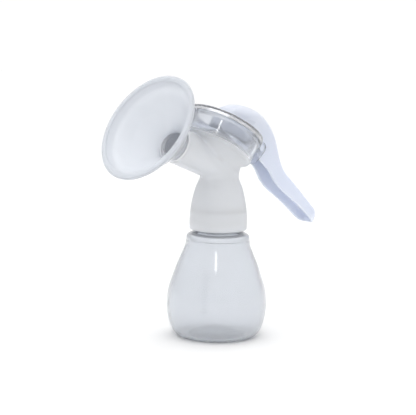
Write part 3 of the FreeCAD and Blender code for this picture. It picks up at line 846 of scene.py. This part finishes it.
def pump_body_field(s, block):
    """The body's walls: skirt, neck, arm, drum and ears, with everything bored out."""
    across = np.hypot(block.x, block.y)
    u, y, h = in_frame(block, drum_frame(s))
    drum_across = np.hypot(u, y)
    ax, ay, t = in_frame(block, arm_frame(s))
    arm_across = np.hypot(ax, ay)
    # the arm's mouth stops short of the funnel's collar
    mouth_t = -(s.throat_depth - s.elbow_depth + 2.0 + 1.2)
    arm_len, socket_len = 52.0, 11.5
    arm_end = mouth_t - arm_len
    top_z = s.drum_z - s.drum_depth + 4.0
    halfway_r = (s.skirt_r + s.waist_r) / 2
    w = s.body_wall

    def waist(inset):
        return [
            (s.waist_r + 1.5 - inset, s.waist_z - 5.0),
            (s.waist_r - inset, s.waist_z + 0.5),
            (s.waist_r - inset, top_z),
        ]

    edge = bend((s.skirt_r - s.skirt_round, s.skirt_z + s.skirt_round), s.skirt_round, -90, 0)
    neck_line = flowing(
        [
            (s.skirt_r, s.skirt_z + 1.5 * s.skirt_round),
            (s.skirt_r - 0.1, s.skirt_z + 10.0),
            (s.skirt_r - 1.1, s.skirt_z + 18.0),
            (halfway_r + 0.2, s.waist_z - 10.5),
        ]
        + waist(0)
    )
    neck = core(edge + neck_line, across, block.z)
    arm = core([(9.8, arm_end), (12.2, mouth_t)], arm_across, t)
    flange_top = -(s.ring_t + s.rim_t)
    flange_low = flange_top - 2.2
    bowl_low = -s.drum_depth - s.bowl_depth
    foot_round = 2.4
    drum_shape = (
        [(s.waist_r, bowl_low), (s.bowl_r, -s.drum_depth)]
        + bend((s.drum_foot_r - foot_round, -s.drum_depth + foot_round), foot_round, -90, 0)
        + [(s.drum_r, flange_low), (s.flange_r, flange_low + 0.5), (s.flange_r, flange_top)]
    )
    drum = core(drum_shape, drum_across, h)
    outside = merged(merged(neck, arm, 5.0), drum, 5.0)
    outside = merged(outside, ear_field(s, u, np.abs(y), h, flange_low), 1.2)
    # what is bored out of it: the neck's chamber, the arm, the drain and the bowl
    r_low = s.skirt_r - 5.1
    chamber_z = s.ceiling_z + 2.0
    chamber_line = flowing(
        [(r_low, chamber_z), (r_low, chamber_z + 5.0), (halfway_r - w, s.waist_z - 10.5)] + waist(w)
    )
    chamber = core(chamber_line, across, block.z)
    socket_t = mouth_t - socket_len
    bore = core([(10, socket_t), (10, 9)], arm_across, t)
    drain = core([(7.0, arm_end + 3.0), (7.6, socket_t + 0.1)], arm_across, t)
    bowl = core([(s.waist_r - w, bowl_low), (s.bowl_r - w, 1 - s.drum_depth)], drum_across, h)
    hollow = merged(merged(merged(chamber, bore), drain, 2.0), bowl, 3.0)
    hollow = shared(hollow, h + s.drum_depth)
    floor_in = w - s.drum_depth
    inside_r = s.drum_r - w
    drum_corner = bend((s.drum_foot_r - w - 1.4, floor_in + 1.4), 1.4, -90, 0)
    drum_hollow = core(drum_corner + [(inside_r, flange_top), (inside_r, 12)], drum_across, h)
    port = np.maximum(drum_across - 3.5, np.abs(h - floor_in + 4) - 6)
    socket_r = s.neck_r + s.thread_depth + s.socket_gap
    socket = np.maximum(across - socket_r, block.z - s.ceiling_z)
    for cut in (hollow, drum_hollow, port, socket):
        outside = without(outside, cut, 0.6)
    spout_low = s.ceiling_z - 7.0
    spout = shared(across - s.spout_r, np.abs(block.z - s.ceiling_z + 3.25) - 3.75, 0.5)
    body = merged(outside, spout, 0.8)
    spout_bore = np.maximum(across - s.spout_r + 1.8, np.abs(block.z - spout_low - 4.75) - 5.8)
    body = without(body, spout_bore, 0.4)
    pivot_across = np.hypot(block.x - LEVER_PIVOT.x, block.z - LEVER_PIVOT.z)
    pin_hole_r = PIN_R + 0.08
    return without(body, pivot_across - pin_hole_r, 0.3)


def ear_field(s, u, side, h, flange_low):
    """The two cheeks beside the drum that carry the handle's pins."""
    place = drum_frame(s).inverted() @ LEVER_PIVOT
    pu, ph = place.x, place.z
    ear_r, gap, half_cheek = 4.1, 0.5, 1.2
    edge = pu + ear_r
    foot = -s.drum_depth
    shape = (
        bend((pu, ph), ear_r, 180, 0, 16)
        + [(edge - 0.8, ph - 4.0), (pu + 1.2, foot + 9.0), (pu - 1.6, foot + 6.0)]
        + [(s.drum_r - 2.4, foot + 3.5), (s.drum_r - 2.4, flange_low)]
        + [(s.flange_r - 0.5, flange_low)]
    )
    outline = Chart(shape, (15.0, -25.0), (45.0, 12.0)).at(u, h)
    return shared(outline, np.abs(side - s.hinge_half - gap - half_cheek) - half_cheek, 1.0)


class PUMP_OT_body(bpy.types.Operator):
    """Makes the pump body with its skirt, neck, arm, drum and ears"""

    bl_idname = "pump.body"
    bl_label = "Pump body"

    def execute(self, context):
        s = sizes()
        step = 0.6
        block = roomy(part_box("pump_body"), step)
        body = skin("moulded_body", pump_body_field(s, block), block)
        paint(body, "milky_polypropylene")
        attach(body, "pump_body")
        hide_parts("pump_body")
        return {"FINISHED"}


# -------- clamp ring and diaphragm
class PUMP_OT_drum_pieces(bpy.types.Operator):
    """Makes the clamp ring and the diaphragm"""

    bl_idname = "pump.drum_pieces"
    bl_label = "Drum pieces"

    def execute(self, context):
        s = sizes()
        place = drum_frame(s)
        flange_top = -(s.ring_t + s.rim_t)
        lip_in = s.flange_r - 1.2
        ring_line = (
            [(s.opening_r, -s.ring_t + 0.3), (s.opening_r + 0.3, -s.ring_t), (lip_in, -s.ring_t)]
            + [(lip_in, flange_top), (s.flange_r, flange_top), (s.flange_r, -2.0)]
            + [(s.flange_r - 0.25, -1.85), (s.flange_r - 0.25, -1.55), (s.flange_r, -1.4)]
            + bend((s.flange_r - 0.7, -0.7), 0.7, 0, 90, 6)
            + [(s.flange_r - 1.6, 0.0), (s.flange_r - 1.8, -0.25), (s.flange_r - 2.3, -0.25)]
            + [(s.flange_r - 2.5, 0.0)]
            + bend((s.opening_r + 0.6, -0.6), 0.6, 90, 180, 6)
        )
        ring = turned("clamp_ring_moulding", ring_line, place)
        paint(ring, "clear_polypropylene")
        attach(ring, "pump_body")
        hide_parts("clamp_ring")

        # the diaphragm's cup hangs a little over the drum's floor when the pump is at rest
        rest_gap, cup_wall, cup_floor, cup_round, stem_r = 2.2, 1.2, 1.6, 2.6, 2.4
        floor = rest_gap + s.body_wall - s.drum_depth
        top = floor + cup_floor
        r_in = s.diaphragm_r - cup_wall
        soft = (
            [(stem_r, floor)]
            + bend((s.diaphragm_r - cup_round, floor + cup_round), cup_round, -90, 0, 10)
            + [(s.diaphragm_r, flange_top), (lip_in - 0.2, flange_top), (lip_in - 0.2, -s.ring_t)]
            + [(r_in, -s.ring_t)]
            + bend((r_in - cup_round, top + cup_round), cup_round, 0, -90, 10)
            + [(stem_r, top)]
        )
        # cut into pieces of about 1 mm along its outline
        wall = []
        for a, b in zip(soft, soft[1:] + soft[:1]):
            pieces = max(1, int(math.dist(a, b)))
            start, way = np.array(a), np.array(b) - np.array(a)
            wall += [tuple(start + way * i / pieces) for i in range(pieces)]
        diaphragm = turned("silicone_diaphragm", wall, place, 96)
        paint(diaphragm, "clear_silicone")
        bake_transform(diaphragm)
        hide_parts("diaphragm")
        return {"FINISHED"}


# -------- funnel and cushion
def flare_line(s, inset):
    """The inner line of the flare from its rim to its throat, moved outwards by inset."""
    rim = s.rim_r - s.lip_t
    return flowing(
        [
            (rim + inset * 0.45, -s.lip_t - inset),
            (rim - 3.4 + inset * 0.5, -3.0 - inset * 0.9),
            (rim - 8.0 + inset * 0.6, -6.6 - inset * 0.8),
            (s.throat_r + 12.6 + inset * 0.7, -13.6 - inset * 0.7),
            (s.throat_r + 6.3 + inset * 0.8, -19.4 - inset * 0.6),
            (s.throat_r + 1.7 + inset * 0.95, -24.0 - inset * 0.3),
            (s.throat_r + inset, -s.throat_depth),
        ]
    )


def funnel_field(s, block):
    """The hard funnel: its flare, the collar and the spigot that plugs into the arm."""
    fx, fy, d = in_frame(block, flare_frame(s))
    across = np.hypot(fx, fy)
    ax, ay, t = in_frame(block, arm_frame(s))
    arm_across = np.hypot(ax, ay)
    inner, outer = flare_line(s, 0), flare_line(s, s.funnel_wall)
    flare = turned_field(inner + outer[::-1], across, d)
    cup = core([(s.rim_r + 9, 9)] + inner, across, d)
    throat = -(s.throat_depth - s.elbow_depth)
    collar = shared(arm_across - 12.4, np.abs(t - throat + 0.25) - 1.75, 0.8)
    spigot_low = throat - 12.0
    spigot = np.maximum(arm_across - 9.85, np.abs(t - (throat + spigot_low) / 2) - 6.0)
    solid = merged(flare, merged(collar, spigot, 0.6), 3.0)
    bore = np.maximum(arm_across - 8.3, np.abs(t - throat + 5.5) - 8.5)
    return without(without(solid, cup, 0.3), bore, 0.3)


class PUMP_OT_funnel(bpy.types.Operator):
    """Makes the hard funnel and its soft cushion"""

    bl_idname = "pump.funnel"
    bl_label = "Funnel and cushion"

    def execute(self, context):
        s = sizes()
        step = 0.5
        block = roomy(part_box("funnel"), step)
        funnel = skin("hard_funnel", funnel_field(s, block), block)
        paint(funnel, "clear_polypropylene")
        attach(funnel, "pump_body")
        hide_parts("funnel")

        back = flare_line(s, -0.05)
        front = flare_line(s, -s.cushion_t)
        outer = flare_line(s, s.funnel_wall + 0.05)
        lip = flowing(
            [
                (s.rim_r - 4.4, -0.75),
                (s.rim_r - 2.6, 0.0),
                (s.rim_r - 0.7, -0.5),
                (s.rim_r, -1.6),
                (s.rim_r - 0.7, -2.9),
                (s.rim_r - 2.6, -4.2),
                (outer[20][0], outer[20][1] - 0.5),
            ],
            6,
        )
        throat_lip = [
            (s.throat_r - s.cushion_t, 1.0 - s.throat_depth),
            (s.throat_r - 0.1, -s.throat_depth),
        ]
        # down the front, back up against the funnel, over its rim and round the lip
        line = front[9:-6] + throat_lip + back[::-1][1:] + outer[2:20] + lip[::-1]
        cushion = turned("massage_cushion", line, flare_frame(s))
        paint(cushion, "soft_silicone")
        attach(cushion, "pump_body")
        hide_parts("cushion")
        return {"FINISHED"}


# -------- handle
def handle_field(s, block):
    """The squeeze handle in the drum's frame: a domed channel with its hook plate and pins."""
    u, y, h = block.x, block.y, block.z
    side = np.abs(y)
    place = drum_frame(s).inverted() @ LEVER_PIVOT
    pu, ph = place.x, place.z
    tip_u, nose_u = 112.0, -10.5
    back = flowing(
        [
            (nose_u, 0.0), (-9.4, 5.0), (-6.4, 10.2), (-0.5, 15.0), (8.0, 18.6), (19.0, 20.8),
            (30.5, 19.5), (40.6, 14.4), (46.6, 9.0), (52.2, 3.8), (57.4, 0.0), (63.6, -2.6),
            (76.6, -4.8), (93.6, -7.9), (104.4, -10.0), (109.8, -12.6), (tip_u, -16.0),
        ],
        8,
    )
    slope = 5.5 / pu

    def hook(at):
        """The height of the hook plate's middle, which runs from the pivot to the stem."""
        return ph + (at - pu) * slope

    belly = flowing(
        [
            (tip_u - 3.4, -18.6), (103.0, -17.8), (96.0, -16.9), (86.0, -15.9), (74.0, -15.4),
            (65.0, -14.9), (56.0, -13.0), (47.4, -9.4), (36.0, -7.0), (pu - 2.4, -3.5),
        ],
        8,
    )
    rim_clear = 0.8
    chin = flowing([(-6.6, hook(-6.6) - 1.0), (-9.6, -4.0), (nose_u, 0.0)], 6)
    profile = (
        back
        + [(tip_u - 0.9, -18.0)]
        + belly
        + [(pu - 3.0, rim_clear), (17.4, rim_clear), (15.6, hook(15.6) - 1.4)]
        + chin[:-1]
    )
    low, high = (-16.0, -30.0), (118.0, 28.0)
    outline = Chart(profile, low, high, 0.25).at(u, h)

    def plan(inset):
        """What lies within the handle's outline as seen from above, drawn in by inset."""
        edge = flowing(
            [
                (nose_u + inset, 0.0), (nose_u * 0.62, s.head_half * 0.74 - inset),
                (4.0, s.head_half - inset), (14.0, s.head_half * 0.93 - inset),
                (25.0, s.hinge_half + 0.1 - inset), (pu + 6.0, s.hinge_half - inset),
                (52.0, s.hinge_half + 0.9 - inset), (66.0, s.grip_half - inset),
            ],
            8,
        )
        end_len = 10.0
        for turn in [math.pi / 2 * i / 12 for i in range(13)]:
            along_end = tip_u - end_len + (end_len - inset) * math.sin(turn)
            edge.append((along_end, (s.grip_half - inset) * math.cos(turn)))
        mirror = [(a, -b) for a, b in edge[::-1]]
        return Chart(edge + mirror[1:-1], (-16.0, 0.0), (118.0, 16.0), 0.25).at(u, side)

    w = s.handle_wall
    head = np.clip((52.0 - u) / 26.0, 0.0, 1.0)
    sag = s.crown * head * head * (3 - 2 * head) * (y / s.head_half) ** 2

    def below(line):
        """What lies under a line of the back, which sinks towards both sides of the head."""
        ends = [(line[-1][0], -60.0), (line[0][0], -60.0)]
        return Chart(line + ends, low, high, 0.25).at(u, h + sag)

    solid = shared(shared(below(back), plan(0), s.back_round), outline, 0.4)
    hollow = shared(below(thicker(back, -w)), plan(w), s.back_round - w)
    shell = without(solid, hollow, 0.7)
    cos, sin = math.cos(math.atan(slope)), math.sin(math.atan(slope))
    along = (u - pu) * cos + (h - ph) * sin
    above = -(u - pu) * sin + (h - ph) * cos
    web = shared(np.abs(above) - 0.8, np.abs(along + pu - 4.0) - 11.0, 0.3)
    web = shared(web, solid + 0.3)
    # the slot that takes the stem, open towards the nose
    slot_r = 2.9
    slot_end = np.hypot(along + pu / cos, y) - slot_r
    slot = np.minimum(slot_end, np.maximum(side - slot_r, along + pu / cos))
    web = without(web, slot, 0.3)
    shell = merged(shell, web, 0.8)
    boss_r = 3.6
    pin_across = np.hypot(u - pu, h - ph)
    pins = np.maximum(pin_across - PIN_R, side - s.hinge_half - 2.7)
    boss = np.maximum(pin_across - boss_r, side - s.hinge_half + 0.6)
    shell = merged(merged(shell, boss, 0.8), pins, 0.6)
    gap = np.maximum(pin_across - boss_r - 0.2, side - s.hinge_half + w + 1.2)
    return without(shell, gap, 0.3)


class PUMP_OT_handle(bpy.types.Operator):
    """Makes the squeeze handle"""

    bl_idname = "pump.handle"
    bl_label = "Handle"

    def execute(self, context):
        s = sizes()
        step = 0.5
        block = Block((-13, -13, -21), (115, 13, 24), step)
        handle = skin("squeeze_handle", handle_field(s, block), block)
        verts = np.zeros(len(handle.data.vertices) * 3)
        handle.data.vertices.foreach_get("co", verts)
        moved = placed(verts.reshape(-1, 3) / MM, drum_frame(s)) * MM
        handle.data.vertices.foreach_set("co", moved.ravel())
        handle.data.update()
        paint(handle, "white_polypropylene")
        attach(handle, "lever")
        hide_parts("handle")
        return {"FINISHED"}


# -------- pieces kept from the frame
class PUMP_OT_inner_parts(bpy.types.Operator):
    """Gives the frame's own small parts their materials"""

    bl_idname = "pump.inner_parts"
    bl_label = "Inner parts"

    def execute(self, context):
        finish = {
            "diaphragm_stem": "inner_polypropylene",
            "stem_lock": "inner_polypropylene",
            "duckbill_valve": "valve_silicone",
            "bottle_seal": "valve_silicone",
            "funnel_seal": "valve_silicone",
        }
        for node, material in finish.items():
            paint(frame["nodes"][node], material)
        return {"FINISHED"}


# -------- stage
class PUMP_OT_stage(bpy.types.Operator):
    """Sets the backdrop, the lights and the camera"""

    bl_idname = "pump.stage"
    bl_label = "Stage"

    def execute(self, context):
        scene = context.scene
        scene.view_settings.view_transform = "Standard"
        world = bpy.data.worlds.new("soft_room")
        scene.world = world
        world.use_nodes = True
        self.room(world.node_tree)
        scene.cycles.max_bounces = 24
        scene.cycles.transmission_bounces = 24
        reach = 3000.0
        floor = new_mesh_object(
            "floor",
            [(-reach, -reach, 0), (reach, -reach, 0), (reach, reach, 0), (-reach, reach, 0)],
            [(0, 1, 2, 3)],
        )
        # matt paper: white and even, with hardly any gloss
        tree, output, _ = start_material("white_paper_sweep")
        white = linear(colours().floor)
        paper = add(tree, "ShaderNodeBsdfPrincipled", {"Base Color": white, "Roughness": 0.9})
        tree.links.new(paper.outputs["BSDF"], output.inputs["Surface"])
        paint(floor, "white_paper_sweep")
        self.lamp("key_softbox", (-0.9, -0.8, 0.9), (0.05, 0.2), 1.0)
        self.lamp("top_softbox", (0.1, 0.1, 1.3), (0.9, 0.9), 3.5)
        self.camera(scene)
        return {"FINISHED"}

    def room(self, tree):
        """A white room whose side walls are a little greyer than its ceiling and its backdrop."""
        background = tree.nodes["Background"]
        around = add(tree, "ShaderNodeTexCoord").outputs["Generated"]
        up = add(tree, "ShaderNodeSeparateXYZ", {"Vector": around}).outputs["Z"]
        rise = {"From Min": 0.05, "From Max": 0.55, "To Min": ROOM_WALL, "To Max": ROOM_TOP}
        high = add(tree, "ShaderNodeMapRange", {"Value": up, **rise}).outputs["Result"]
        seen = add(tree, "ShaderNodeLightPath").outputs["Is Camera Ray"]
        white = add(tree, "ShaderNodeMix", {"Factor": seen, 2: high, 3: BACKDROP}, data_type="FLOAT")
        background.inputs["Color"].default_value = (1.0, 1.0, 1.0, 1.0)
        tree.links.new(white.outputs[0], background.inputs["Strength"])

    def lamp(self, name, at, sides, watts):
        """A softbox at a place in metres, turned to the pump."""
        light = bpy.data.lights.new(name, "AREA")
        light.shape = "RECTANGLE"
        light.size, light.size_y = sides
        light.energy = watts
        made = bpy.data.objects.new(name, light)
        bpy.context.scene.collection.objects.link(made)
        made.location = at
        made.rotation_euler = (Vector((0, 0, 0.1)) - Vector(at)).to_track_quat("-Z", "Y").to_euler()

    def camera(self, scene):
        """The camera, a metre away and rolled by a little."""
        azimuth, distance, height = math.radians(-44.0), 1.0, 0.228
        roll = math.radians(1.3)
        place = Vector((math.sin(azimuth) * distance, -math.cos(azimuth) * distance, height))
        ahead = (Vector((0, 0, 0.09)) - place).normalized()
        right = ahead.cross(Vector((0, 0, 1))).normalized()
        up = right.cross(ahead)
        across = right * math.cos(roll) + up * math.sin(roll)
        upward = -right * math.sin(roll) + up * math.cos(roll)
        lens = bpy.data.cameras.new("camera")
        lens.lens = 129.2
        lens.shift_x = -0.0255
        lens.shift_y = -0.0077
        made = bpy.data.objects.new("camera", lens)
        scene.collection.objects.link(made)
        turn = Matrix((across, upward, -ahead)).transposed().to_4x4()
        made.matrix_world = Matrix.Translation(place) @ turn
        scene.camera = made


# -------- materials of the pieces
class PUMP_OT_materials(bpy.types.Operator):
    """Makes the pump's materials"""

    bl_idname = "pump.materials"
    bl_label = "Materials"

    def execute(self, context):
        c, s = colours(), sizes()
        place = drum_frame(s)
        floor = place @ Vector((0, 0, s.body_wall - s.drum_depth)) * MM
        upward = place.to_3x3() @ Vector((0, 0, 1))
        # blow-moulded polypropylene: see-through with a milky cast and a soft gloss
        blown = dict(density=55.0, rough=0.14, transmission=0.78, grain_mm=0.9, bump=0.15)
        moulded("blown_polypropylene", c.body, **blown)
        # injection-moulded polypropylene: cloudy in the thick neck, clear in the thin drum
        cloudy = dict(density=45.0, rough=0.1, transmission=0.92, grain_mm=0.8, bump=0.1, glow=0.1)
        moulded("milky_polypropylene", c.body, milky=(floor, upward), **cloudy)
        # clarified polypropylene: clear and glossy
        clear = dict(density=25.0, rough=0.12, transmission=0.85, grain_mm=1.2, bump=0.05)
        moulded("clear_polypropylene", c.clear, **clear)
        # liquid silicone rubber: cloudy, with a wet-looking gloss
        rubber = dict(density=45.0, rough=0.1, transmission=0.7, grain_mm=0.7, bump=0.1, ior=1.41)
        moulded("soft_silicone", c.silicone, glow=0.6, **rubber)
        # the same rubber in a thin cup: nearly clear
        rubber.update(density=15.0, rough=0.12, transmission=0.9, bump=0.05)
        moulded("clear_silicone", c.clear, **rubber)
        # pigmented polypropylene: satin, and bright where light comes through its thin walls
        satin = dict(density=0.0, rough=0.32, transmission=0.0, grain_mm=0.7, bump=0.2)
        moulded("white_polypropylene", c.handle, glow=1.0, **satin)
        # the small inner mouldings: satin and a little translucent
        satin.update(rough=0.35, transmission=0.2)
        moulded("inner_polypropylene", c.inner, glow=0.5, **satin)
        # the valve and the seals: a duller, softer rubber
        satin.update(rough=0.4, transmission=0.3)
        moulded("valve_silicone", c.inner, glow=0.5, ior=1.41, **satin)
        return {"FINISHED"}


class PUMP_PT_sidebar(bpy.types.Panel):
    """Lists the operators that make the pump"""

    bl_idname = "PUMP_PT_sidebar"
    bl_label = "Manual breast pump"
    bl_space_type = "VIEW_3D"
    bl_region_type = "UI"
    bl_category = "Pump"

    def draw(self, context):
        for step in STEPS:
            self.layout.operator(step.bl_idname)


STEPS = (
    PUMP_OT_materials,
    PUMP_OT_stage,
    PUMP_OT_bottle,
    PUMP_OT_threads,
    PUMP_OT_scale,
    PUMP_OT_body,
    PUMP_OT_drum_pieces,
    PUMP_OT_funnel,
    PUMP_OT_handle,
    PUMP_OT_inner_parts,
)
CLASSES = (PumpSizes, PumpColours, *STEPS, PUMP_PT_sidebar)


def register():
    for kind in CLASSES:
        bpy.utils.register_class(kind)
    bpy.types.Scene.pump_sizes = bpy.props.PointerProperty(type=PumpSizes)
    bpy.types.Scene.pump_colours = bpy.props.PointerProperty(type=PumpColours)


def unregister():
    del bpy.types.Scene.pump_colours
    del bpy.types.Scene.pump_sizes
    for kind in reversed(CLASSES):
        bpy.utils.unregister_class(kind)


def main():
    register()
    for step in STEPS:
        group, name = step.bl_idname.split(".")
        getattr(getattr(bpy.ops, group), name)()


if __name__ == "__main__":
    main()
